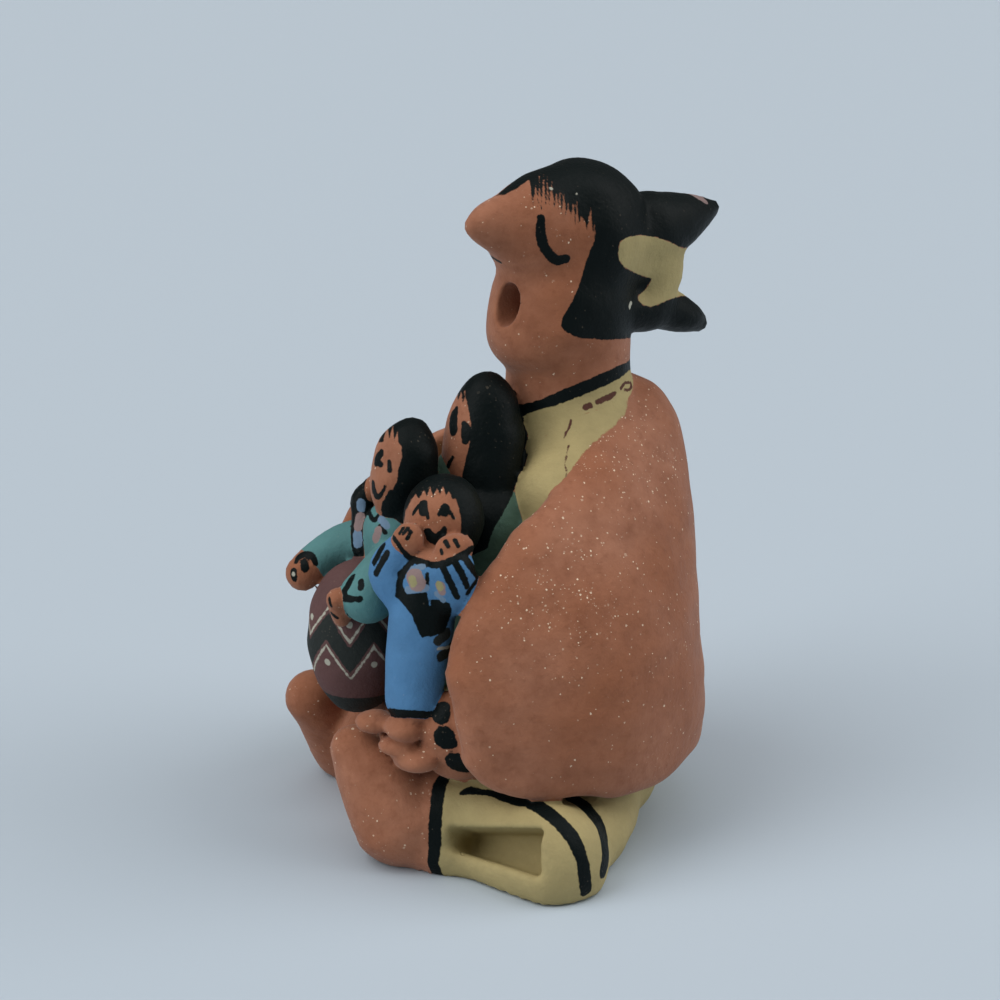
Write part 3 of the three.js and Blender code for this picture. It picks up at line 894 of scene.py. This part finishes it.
def stroke_curve(stroke):
    """A stroke's pixels and widths at short steps along it."""
    pixels = np.array(stroke, float)
    longest = lengths(np.diff(pixels[:, :2], axis=0)).max()
    steps = max(math.ceil(longest / STROKE_STEP_PIXELS), LEAST_STROKE_STEPS)
    if len(pixels) > 2:
        return smooth_line(pixels, steps)
    return pixels[0] + np.linspace(0, 1, steps + 1)[:, None] * (pixels[1] - pixels[0])


def seen_width(points):
    """How much wider a line on the surface has to be to show at its width in the photo."""
    way = unit_rows(np.gradient(points, axis=0))
    across = np.cross(unit_rows(slopes(points)), way)
    seen = unit_rows(np.cross(unit_rows(CAMERA_PLACE - points), way))
    return np.clip(1 / np.maximum(np.abs((across * seen).sum(1)), TINY), 1, WIDEST_CORRECTION)


def stroke_lines():
    """Every stroke as a line on the surface with its radius, by colour and the forms it lies on."""
    curves = []
    for colour, forms, strokes, *side in STROKES:
        curves += [(colour, forms, stroke_curve(stroke), side) for stroke in strokes]
    spots, met = cast(np.concatenate([curve[2] for curve in curves]))
    fields = np.array([group_field(group, spots) for group in GROUPS])
    made = []
    start = 0
    for colour, forms, curve, side in curves:
        chosen = slice(start, start + len(curve))
        start += len(curve)
        points = spots[chosen]
        kept = met[chosen] & (covers(fields[:, chosen], forms) < OFF_FORM)
        if not kept.all():
            # Where something stands before the stroke's forms, it is drawn on them behind it
            points[~kept], kept[~kept] = cast(curve[~kept], only(forms))
        points = points[kept]
        if len(points) < 2:
            continue
        radii = curve[kept, 2] / 2 * PIXEL * seen_width(points) + BRUSH_MARGIN
        made.append((colour, forms, np.column_stack([points, radii])))
        if side:
            place, back, middle, _ = SIDES[side[0]]
            local = place(points).copy()
            local[:, 0] = 2 * middle - local[:, 0]
            made.append((colour, forms, np.column_stack([onto_surface(back(local)), radii])))
    return made


def stroke_distance(p, line):
    """Distance to a stroke near its line, which is broken where its points part in depth."""
    made = np.full(len(p), FAR)
    near = in_box(p, line[:, :3].min(0), line[:, :3].max(0), STROKE_REACH)
    best = made[near]
    for a, b in zip(line[:-1], line[1:]):
        if np.linalg.norm(b[:3] - a[:3]) < LONGEST_STEP:
            best = np.minimum(best, line_distance(p[near], np.array([a, b])))
    made[near] = best
    return made


def plane_through(pixels):
    """The plane that best fits where lines of sight meet the figure: its middle and its way up."""
    spots, met = cast(smooth_line(np.array(pixels, float)))
    spots = spots[met]
    middle = spots.mean(0)
    normal = np.linalg.svd(spots - middle)[2][2]
    return middle, normal * np.sign(normal[2])


# The jar's zigzag, the half width of its middle line and of the fine line beside it, and its dots
JAR_RADIUS = 7.2
ZIGZAGS = 6
ZIGZAG_MIDDLE = 31
ZIGZAG_RISE = 2.6
ZIGZAG_HALF = 1.2
ZIGZAG_LINE = (1.75, 0.17)
# Below this height the jar is painted dark: painted shade where its foot turns under
SHADED_JAR_FOOT = 22
DOT_RISE = 6.2
DOT_RADIUS = 0.5


def jar_design(p):
    """A zigzag band between fine lines with dots in its bends, over a dark foot of painted shade."""
    q = p - JAR_PLACE
    repeat = 2 * math.pi * JAR_RADIUS / ZIGZAGS
    turn = np.arctan2(q[:, 0], -q[:, 1]) / (2 * math.pi) * ZIGZAGS
    slope = 4 * ZIGZAG_RISE / repeat
    wave = 4 * np.abs(turn - np.floor(turn + 0.5)) - 1
    off = np.abs(p[:, 2] - ZIGZAG_MIDDLE - ZIGZAG_RISE * wave) / math.hypot(1, slope)
    # The dark band, and below the foot's height painted shade
    dark = np.minimum(off - ZIGZAG_HALF, p[:, 2] - SHADED_JAR_FOOT)
    line = np.abs(off - ZIGZAG_LINE[0]) - ZIGZAG_LINE[1]
    for side, shift in ((1, 0), (-1, 0.5)):
        along = (turn - shift - np.floor(turn - shift + 0.5)) * repeat
        dot = np.hypot(along, p[:, 2] - ZIGZAG_MIDDLE - side * DOT_RISE / 2) - DOT_RADIUS
        line = np.minimum(line, dot)
    return dark, line


# The strokes, the collar's plane, and how far along its way the ankle's band runs by height
STROKE_LINES = stroke_lines()
collar, collar_up = plane_through(COLLAR)
ankle, _ = cast(np.array(ANKLE, float))
ankle_line = np.polyfit(ankle[:, 2], ankle @ ANKLE_WAY, 2)
ankle_span = (ankle[:, 2].min(), ankle[:, 2].max())

# The mesh's size of triangle in plain places, at creases, in hollows and at the edges of paint, which is
# finer for thin strokes and on faces, and how near each of them that size begins
PLAIN_SIZE = 2 * CELL
CREASE_SIZE = 0.6
CREASE_REACH = 0.6
HOLLOW_SIZE = 0.4
HOLLOW_REACH = 0.5
EDGE_SIZE = 0.56
EDGE_REACH = 0.5
FINE_SIZE = 0.26
FINE_REACH = 0.35
BROAD_STROKE = 0.6
FACES = ("head", "third head", "first head", "second head")


def paint_distances(p, normals):
    """Signed distance to every colour's edge, and the size of mesh that the place needs."""
    # How much the surface faces the camera: 1 where it does fully, less than 0 where it is turned away
    facing = (normals * unit_rows(CAMERA_PLACE - p)).sum(1)
    fields = np.array([group_field(group, p) for group in GROUPS])
    ranked = np.sort(fields, axis=0)[:2]
    need = np.where(ranked[1] - ranked[0] < CREASE_REACH, CREASE_SIZE, PLAIN_SIZE)
    hollows = np.minimum(np.abs(group_field(MOUTH, p)), np.abs(slot_distance_and_lip(p)[0]))
    need = np.where(hollows < HOLLOW_REACH, HOLLOW_SIZE, need)
    made = {name: np.full(len(p), FAR) for name in PAINTS}

    def add(colour, forms, distance):
        made[colour] = np.minimum(made[colour], np.maximum(covers(fields, forms), distance))

    for colour, chosen in COVERED.items():
        add(colour, chosen, -FAR)
    for colour, chosen, *area in AREAS:
        add(colour, chosen, area_distance(p, facing, *area))
    for colour, chosen, *area in SPARED:
        inside = np.maximum(covers(fields, chosen) - SPARED_MARGIN, area_distance(p, facing, *area))
        made[colour] = np.maximum(made[colour], -inside)
    cuff = np.maximum(covers(fields, ("first far arm",)) - SPARED_MARGIN, -((p - CUFF_PLACE) @ CUFF_WAY))
    made["teal"] = np.maximum(made["teal"], -cuff)

    above = (p - collar) @ collar_up
    lap = np.maximum(p[:, 1] - LAP_FRONT, p[:, 2] - LAP_TOP)
    add("cream", ("trunk", "neck"), np.maximum(above, -lap))
    band = BAND_HALF + BAND_WAVE[0] * np.sin(BAND_WAVE[1] * p[:, 0])
    add("black", ("trunk", "neck"), np.abs(above) - band)
    sided = np.column_stack([np.abs(p[:, 0]), p[:, 1:]])
    behind = sided @ ANKLE_WAY - np.polyval(ankle_line, np.clip(p[:, 2], *ankle_span))
    add("cream", LEGS, -behind)
    add("black", LEGS, np.abs(behind) - BAND_HALF)
    dark, white = jar_design(p)
    # The jar's dark zigzag band, with painted shade over the jar's foot
    add("dark", ("jar",), dark)
    add("white", ("jar",), white)

    for colour, forms, line in STROKE_LINES:
        off = stroke_distance(p, line)
        add(colour, forms, off)
        size = EDGE_SIZE if line[:, 3].max() > BROAD_STROKE else FINE_SIZE
        need = np.where(np.abs(off) < EDGE_REACH, np.minimum(need, size), need)
    for colour in PAINTS:
        need = np.where(np.abs(made[colour]) < EDGE_REACH, np.minimum(need, EDGE_SIZE), need)
    fine = (covers(fields, ("jar",)) < 0) & (np.abs(white) < FINE_REACH)
    fine |= (np.abs(made["black"]) < EDGE_REACH) & (covers(fields, FACES) < 0) & (facing > 0)
    need = np.where(fine, FINE_SIZE, need)
    return np.array([made[name] for name in PAINTS]), need


# Mesh refinement: edges longer than the size they need by this much are halved, in so many rounds

SPLIT_OVER = 1.3
ROUNDS = 2


def corner_normals(points, triangles):
    a, b, c = (points[triangles[:, i]] for i in range(3))
    flat = np.cross(b - a, c - a)
    total = np.zeros_like(points)
    for i in range(3):
        for axis in range(3):
            total[:, axis] += np.bincount(triangles[:, i], flat[:, axis], len(points))
    return unit_rows(total)


def to_triangles(points, quads):
    """Each quad cut along its shorter diagonal."""
    first = lengths(points[quads[:, 0]] - points[quads[:, 2]])
    second = lengths(points[quads[:, 1]] - points[quads[:, 3]])
    quads = np.where((first <= second)[:, None], quads, np.roll(quads, -1, axis=1))
    return np.concatenate([quads[:, [0, 1, 2]], quads[:, [0, 2, 3]]])


def split(triangles, points, need):
    """Triangles with their long edges halved where the mesh has to be finer, and those edges."""
    edges = np.stack([triangles[:, [0, 1]], triangles[:, [1, 2]], triangles[:, [2, 0]]], 1)
    flat = np.sort(edges.reshape(-1, 2), axis=1)
    code = flat[:, 0].astype(np.int64) * len(points) + flat[:, 1]
    unique, back = np.unique(code, return_inverse=True)
    ends = np.column_stack([unique // len(points), unique % len(points)])
    length = lengths(points[ends[:, 0]] - points[ends[:, 1]])
    marked = length > SPLIT_OVER * np.minimum(need[ends[:, 0]], need[ends[:, 1]])
    number = np.full(len(unique), -1)
    number[marked] = len(points) + np.arange(marked.sum())
    middle = number[back].reshape(-1, 3)
    count = (middle >= 0).sum(1)
    made = [triangles[count == 0]]
    for amount in (1, 2, 3):
        chosen = count == amount
        t, m = triangles[chosen].copy(), middle[chosen].copy()
        for _ in range(2):
            wrong = (m[:, 0] < 0) | ((amount == 2) & (m[:, 1] < 0))
            t[wrong] = np.roll(t[wrong], -1, axis=1)
            m[wrong] = np.roll(m[wrong], -1, axis=1)
        a, b, c = t.T
        ab, bc, ca = m.T
        parts = {
            1: ((a, ab, c), (ab, b, c)),
            2: ((ab, b, bc), (a, ab, bc), (a, bc, c)),
            3: ((a, ab, ca), (ab, b, bc), (ca, bc, c), (ab, bc, ca)),
        }
        made += [np.column_stack(part) for part in parts[amount]]
    return np.concatenate(made), ends[marked]


def painted_form():
    """The figure's points and triangles, with the distance to each paint's edge at the points."""
    points, quads = surface_nets(grid_field())
    points = onto_surface(points)
    triangles = to_triangles(points, quads)
    normals = corner_normals(points, triangles)
    paint, need = paint_distances(points, normals)
    for _ in range(ROUNDS):
        triangles, ends = split(triangles, points, need)
        fresh = onto_surface(points[ends].mean(1), 1)
        fresh_normals = unit_rows(normals[ends].mean(1))
        fresh_paint, fresh_need = paint_distances(fresh, fresh_normals)
        points = np.vstack([points, fresh])
        normals = np.vstack([normals, fresh_normals])
        paint = np.hstack([paint, fresh_paint])
        need = np.concatenate([need, fresh_need])
    return points, triangles, paint


def new_object(name, data):
    made = bpy.data.objects.new(name, data)
    bpy.context.scene.collection.objects.link(made)
    return made


# Paint's distances are kept up to this one
PAINT_REACH = 2

points, triangles, paint = painted_form()
mesh = bpy.data.meshes.new("storyteller")
mesh.from_pydata(to_part_m(points).tolist(), [], triangles.tolist())
mesh.update()
mesh.polygons.foreach_set("use_smooth", [True] * len(mesh.polygons))
for name, row in zip(PAINTS, paint):
    layer = mesh.attributes.new(name + " paint", "FLOAT", "POINT")
    layer.data.foreach_set("value", np.clip(row, -PAINT_REACH, PAINT_REACH))
piece = new_object("storyteller", mesh)
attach(piece, "root")
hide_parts("storyteller_figure")

# Material

CLAY = (0.285, 0.1, 0.044)
PALE_CLAY = (0.36, 0.15, 0.083)
DARK_CLAY = (0.19, 0.058, 0.022)
MICA = (0.75, 0.6, 0.44)
# Noises: cells per metre, detail and roughness. Spans: the values of a noise from which to which it counts.
BROAD_NOISE = (38, 3, 0.5)
PATCH_NOISE = (150, 4, 0.6)
GRAIN_NOISE = (420, 4, 0.62)
FINE_NOISE = (1500, 3, 0.6)
PALE_SPAN = (0.36, 0.64)
DARK_PATCH_SPAN = (0.42, 0.72)
DARK_PATCH_SHARE = 0.55
DARK_GRAIN_SPAN = (0.5, 0.72)
DARK_GRAIN_SHARE = 0.4
# Paint: how its edge wavers and how soft it is, in the units of the forms, and its darker patches
EDGE_NOISE = (900, 3, 0.6)
EDGE_WAVER = 0.5
EDGE_SOFTNESS = 0.07
TONE_SPAN = (0.3, 0.7)
TONE_DARKER = 0.82
# Gloss: the clay's, what the black paint takes off it, and the dust on bare clay
SHINE = 0.3
DULLED = 0.7
DUST = 0.12
ROUGHNESS = 0.68
FINE_ROUGHNESS = 0.2
BLACK_SMOOTHNESS = 0.3
# Relief too fine for the mesh
GRAIN_HEIGHT = 0.8
FINE_HEIGHT = 0.3
PAINT_HEIGHT = 0.15
BUMP_M = 0.0004
BUMP_STRENGTH = 0.8
# Flecks of mica crowd together round these pixels of the photo and here and there elsewhere
MICA_CROWDS = [(622, 452), (566, 592)]
CROWD_REACH_M = 0.02
CROWD_CORE_M = 0.005
CROWD_NOISE = (260, 2, 0.5)
CROWD_SPAN = (0.35, 0.58)
ELSEWHERE_NOISE = (60, 2, 0.5)
ELSEWHERE_SPAN = (0.5, 0.68)
ELSEWHERE_SHARE = 0.45
# Flecks per metre, their radius, and the share of them that there is away from the crowds and in them
FLECKS = [(1500, 0.00017, 0.09, 1), (480, 0.0003, 0.03, 0.35)]
FLECK_SIZE_POWER = 1.5
LEAST_FLECK_SIZE = 0.35
FLECK_LIGHT_POWER = 2
LEAST_FLECK_LIGHT = 0.15
MICA_ON_PAINT = 0.06
WARP_PER_METRE = 2600
WARP = 0.0004

clay = bpy.data.materials.new("painted clay")
clay.use_nodes = True
tree = clay.node_tree
shader = tree.nodes["Principled BSDF"]


def node(kind, inputs=(), **settings):
    made = tree.nodes.new("ShaderNode" + kind)
    for name, value in settings.items():
        setattr(made, name, value)
    for socket, value in dict(inputs).items():
        if isinstance(value, bpy.types.NodeSocket):
            tree.links.new(value, made.inputs[socket])
        else:
            made.inputs[socket].default_value = value
    return made


def calculated(operation, a, b):
    return node("Math", {0: a, 1: b}, operation=operation).outputs[0]


plus = partial(calculated, "ADD")
minus = partial(calculated, "SUBTRACT")
times = partial(calculated, "MULTIPLY")
greater = partial(calculated, "MAXIMUM")


def noise(scale, detail, roughness):
    inputs = {"Vector": where, "Scale": scale, "Detail": detail, "Roughness": roughness}
    return node("TexNoise", inputs).outputs["Fac"]


def ramp(value, start, end):
    """0 at start, 1 at end and even between them."""
    return node("MapRange", {"Value": value, "From Min": start, "From Max": end}).outputs[0]


def mixed(share, a, b):
    made = node("Mix", {"Factor": share}, data_type="RGBA")
    for socket, value in (("A", a), ("B", b)):
        slot = [s for s in made.inputs if s.name == socket and s.type == "RGBA"][0]
        if isinstance(value, bpy.types.NodeSocket):
            tree.links.new(value, slot)
        else:
            slot.default_value = (*value, 1)
    return [s for s in made.outputs if s.type == "RGBA"][0]


where = node("TexCoord").outputs["Object"]
patches = noise(*PATCH_NOISE)
grain = noise(*GRAIN_NOISE)
fine = noise(*FINE_NOISE)


def bare_clay():
    colour = mixed(ramp(noise(*BROAD_NOISE), *PALE_SPAN), CLAY, PALE_CLAY)
    colour = mixed(times(ramp(patches, *DARK_PATCH_SPAN), DARK_PATCH_SHARE), colour, DARK_CLAY)
    return mixed(times(ramp(grain, *DARK_GRAIN_SPAN), DARK_GRAIN_SHARE), colour, DARK_CLAY)


def mica_crowd():
    """How crowded the flecks are, from 0 to 1."""
    crowd = times(ramp(noise(*ELSEWHERE_NOISE), *ELSEWHERE_SPAN), ELSEWHERE_SHARE)
    for place in to_part_m(cast(np.array(MICA_CROWDS, float))[0]):
        away = node("VectorMath", {0: where, 1: place}, operation="DISTANCE").outputs["Value"]
        patch = times(ramp(away, CROWD_REACH_M, CROWD_CORE_M), ramp(noise(*CROWD_NOISE), *CROWD_SPAN))
        crowd = greater(crowd, patch)
    return crowd


def flecks(crowd, warped, scale, radius, least, most):
    """Specks of mica: the middles of some of the cells, more of them where flecks crowd."""
    cells = node("TexVoronoi", {"Vector": warped, "Scale": scale, "Randomness": 1.0})
    parts = node("SeparateColor", {0: cells.outputs["Color"]})
    size = times(calculated("POWER", parts.outputs[1], FLECK_SIZE_POWER), radius * scale)
    size = plus(size, radius * scale * LEAST_FLECK_SIZE)
    spot = calculated("LESS_THAN", cells.outputs["Distance"], size)
    lucky = calculated("LESS_THAN", parts.outputs[0], plus(times(crowd, most - least), least))
    light = plus(calculated("POWER", parts.outputs[2], FLECK_LIGHT_POWER), LEAST_FLECK_LIGHT)
    return times(times(spot, lucky), light)


def mica():
    """How much of the mica's colour shows on bare clay."""
    waver = node("TexNoise", {"Vector": where, "Scale": WARP_PER_METRE}).outputs["Color"]
    warped = node("Mix", {4: where, 5: waver, "Factor": WARP}, data_type="VECTOR").outputs[1]
    crowd = mica_crowd()
    return calculated("MINIMUM", greater(*[flecks(crowd, warped, *kind) for kind in FLECKS]), 1.0)


colour = bare_clay()
edge = times(minus(noise(*EDGE_NOISE), 0.5), EDGE_WAVER)
covered = 0.0
for name, paint_colour in PAINTS.items():
    off = plus(node("Attribute", attribute_name=name + " paint").outputs["Fac"], edge)
    share = ramp(off, EDGE_SOFTNESS, -EDGE_SOFTNESS)
    darker = tuple(TONE_DARKER * v for v in paint_colour)
    colour = mixed(share, colour, mixed(ramp(patches, *TONE_SPAN), paint_colour, darker))
    covered = greater(covered, share)
    if name == "black":
        black = share
bare = minus(1.0, covered)
shown = times(mica(), plus(times(bare, 1 - MICA_ON_PAINT), MICA_ON_PAINT))
height = plus(plus(times(grain, GRAIN_HEIGHT), times(fine, FINE_HEIGHT)), times(covered, PAINT_HEIGHT))
surface = {
    "Base Color": mixed(shown, colour, MICA),
    "Specular IOR Level": times(minus(1.0, times(black, DULLED)), SHINE),
    "Sheen Weight": times(bare, DUST),
    "Roughness": minus(plus(ROUGHNESS, times(fine, FINE_ROUGHNESS)), times(black, BLACK_SMOOTHNESS)),
    "Normal": node("Bump", {"Height": height, "Distance": BUMP_M, "Strength": BUMP_STRENGTH}).outputs[0],
}
for socket, value in surface.items():
    tree.links.new(value, shader.inputs[socket])
mesh.materials.append(clay)

# Studio

FLOOR_M = 12
PAPER = (0.47, 0.54, 0.605)
PAPER_ROUGHNESS = 0.9
ROOM = (0.93, 0.97, 1)
ROOM_STRENGTH = 0.13
# Name, direction it comes from, its width in degrees and its strength
LIGHTS = [
    ("overhead", (0.1, -0.1, 1), 70, 1.05),
    ("left", (0, -0.8, 0.9), 50, 1),
    ("low left", (0.1, -0.95, 0.25), 40, 0.9),
    ("right", (0.3, 0.9, 0.9), 50, 1.05),
    ("low right", (0.4, 0.9, 0.25), 40, 0.5),
]

bpy.ops.mesh.primitive_plane_add(size=FLOOR_M)
floor = bpy.context.object
floor.name = "floor"
paper = bpy.data.materials.new("paper")
paper.use_nodes = True
paper_inputs = paper.node_tree.nodes["Principled BSDF"].inputs
paper_inputs["Base Color"].default_value = (*PAPER, 1)
paper_inputs["Roughness"].default_value = PAPER_ROUGHNESS
floor.data.materials.append(paper)

room = bpy.data.worlds.new("studio")
bpy.context.scene.world = room
room.use_nodes = True
room_inputs = room.node_tree.nodes["Background"].inputs
room_inputs["Color"].default_value = (*ROOM, 1)
room_inputs["Strength"].default_value = ROOM_STRENGTH
bpy.context.scene.view_settings.view_transform = "Standard"

for name, way, spread, strength in LIGHTS:
    light = bpy.data.lights.new(name, "SUN")
    light.angle = math.radians(spread)
    light.energy = strength
    new_object(name, light).rotation_euler = Vector(way).to_track_quat("Z", "Y").to_euler()

camera_data = bpy.data.cameras.new("camera")
camera_data.lens = camera_data.sensor_width * FOCAL_PIXELS / FRAME_PIXELS
camera = new_object("camera", camera_data)
camera.location = to_part_m(CAMERA_PLACE)
camera.rotation_mode = "QUATERNION"
camera.rotation_quaternion = Vector(-CAMERA_BACK).to_track_quat("-Z", "Y")
bpy.context.scene.camera = camera
